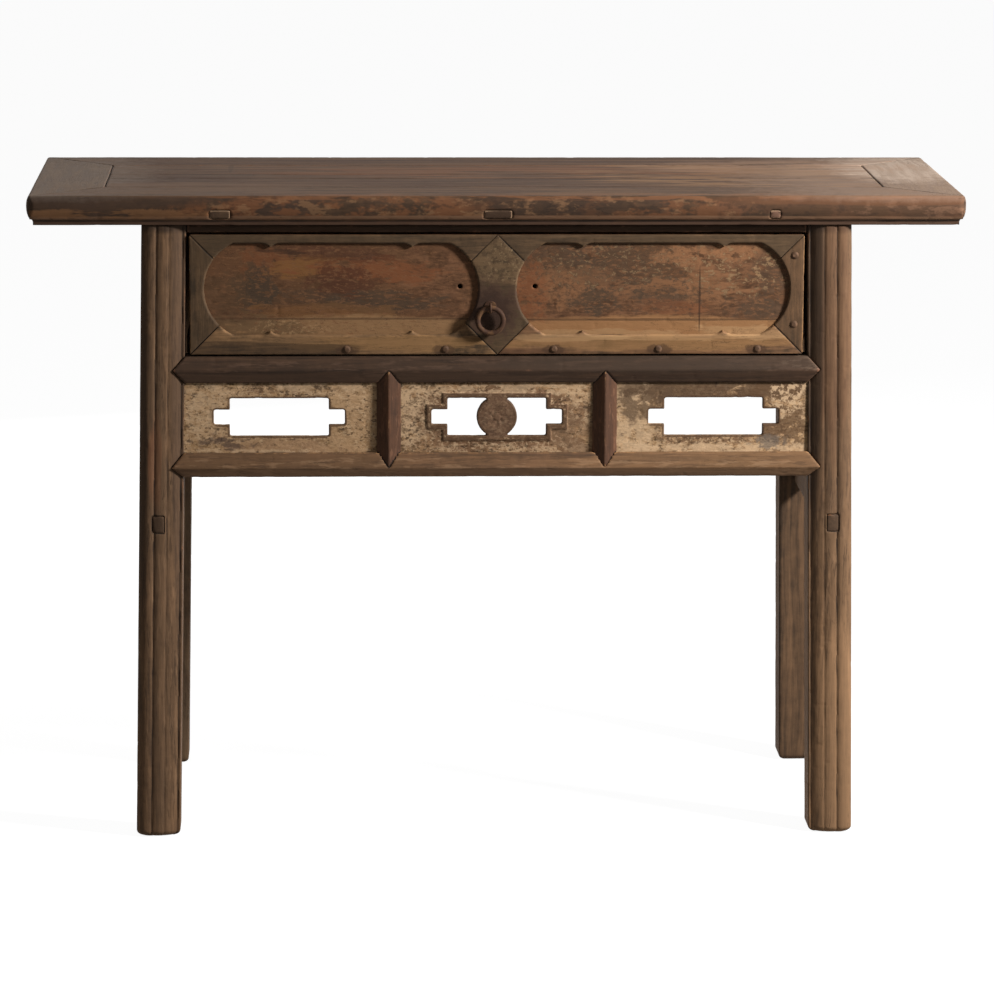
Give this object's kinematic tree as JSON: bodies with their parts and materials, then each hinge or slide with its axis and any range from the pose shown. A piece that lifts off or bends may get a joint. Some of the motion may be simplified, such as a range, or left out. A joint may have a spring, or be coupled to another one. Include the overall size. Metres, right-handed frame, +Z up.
{
  "type": "chinese altar table",
  "caption": "Long narrow recessed-leg wooden table with a framed top, splayed legs, a wide drawer with sunk cartouches and a ring pull, and pierced panels below.",
  "frame": {"origin": "on the floor under the middle of the table", "axes": "+X along the table's length to the right seen from the front, +Y from the front to the back, +Z up; the front with the drawer faces -Y"},
  "size_m": [1.25, 0.452, 0.876],
  "materials": {
    "top_wood": "worn dry elm, greyed by use, dark at the edges",
    "leg_wood": "old dark finish worn through to the wood on the arrises",
    "rail_wood": "old brown finish, worn on the ridges",
    "drawer_frame_wood": "worn brown, matt",
    "cartouche_wood": "worn red-brown with dark patches",
    "fret_paint": "old cream-tan paint worn to the wood",
    "inner_wood": "unfinished, dry",
    "old_iron": "forged, dark and slightly rusted"
  },
  "bodies": {
    "table": {"top_front_rail": "top_wood", "top_back_rail": "top_wood", "top_left_end_rail": "top_wood", "top_right_end_rail": "top_wood", "top_board_front": "top_wood", "top_board_middle": "top_wood", "top_board_back": "top_wood", "top_batten_left": "inner_wood", "top_batten_centre": "inner_wood", "top_batten_right": "inner_wood", "leg_front_left": "leg_wood", "leg_front_right": "leg_wood", "leg_back_left": "leg_wood", "leg_back_right": "leg_wood", "top_rail_front": "rail_wood", "drawer_rail": "rail_wood", "apron_rail": "rail_wood", "muntin_left": "rail_wood", "muntin_right": "rail_wood", "fret_panel_left": "fret_paint", "fret_panel_centre": "fret_paint", "fret_panel_right": "fret_paint", "side_rail_upper_left": "inner_wood", "side_rail_upper_right": "inner_wood", "side_rail_lower_left": "inner_wood", "side_rail_lower_right": "inner_wood", "side_panel_left": "inner_wood", "side_panel_right": "inner_wood", "back_rail_upper": "inner_wood", "back_rail_lower": "inner_wood", "back_panel": "inner_wood", "side_stretcher_left": "rail_wood", "side_stretcher_right": "rail_wood", "drawer_runner_left": "inner_wood", "drawer_runner_right": "inner_wood", "drawer_guide_left": "inner_wood", "drawer_guide_right": "inner_wood", "drawer_kicker_left": "inner_wood", "drawer_kicker_right": "inner_wood"},
    "drawer": {"drawer_front_board": "cartouche_wood", "drawer_post": "drawer_frame_wood", "drawer_frame_stile_left": "drawer_frame_wood", "drawer_frame_stile_right": "drawer_frame_wood", "drawer_frame_bottom_left": "drawer_frame_wood", "drawer_frame_bottom_right": "drawer_frame_wood", "drawer_frame_top_left": "drawer_frame_wood", "drawer_frame_top_right": "drawer_frame_wood", "drawer_side_left": "inner_wood", "drawer_side_right": "inner_wood", "drawer_back": "inner_wood", "drawer_bottom": "inner_wood", "drawer_nails": "old_iron", "ring_pin": "old_iron", "ring_plate": "old_iron"},
    "ring": {"ring_pull": "old_iron"}
  },
  "joints": [
    {"name": "drawer_slide", "type": "slide", "parent": "table", "child": "drawer", "axis": [0, -1, 0], "range_m": [0, 0.26]},
    {"name": "ring_swing", "type": "hinge", "parent": "drawer", "child": "ring", "pos_m": [-0.0095, -0.2155, 0.725], "axis": [-1, 0, 0], "range_deg": [0, 165]}
  ]
}
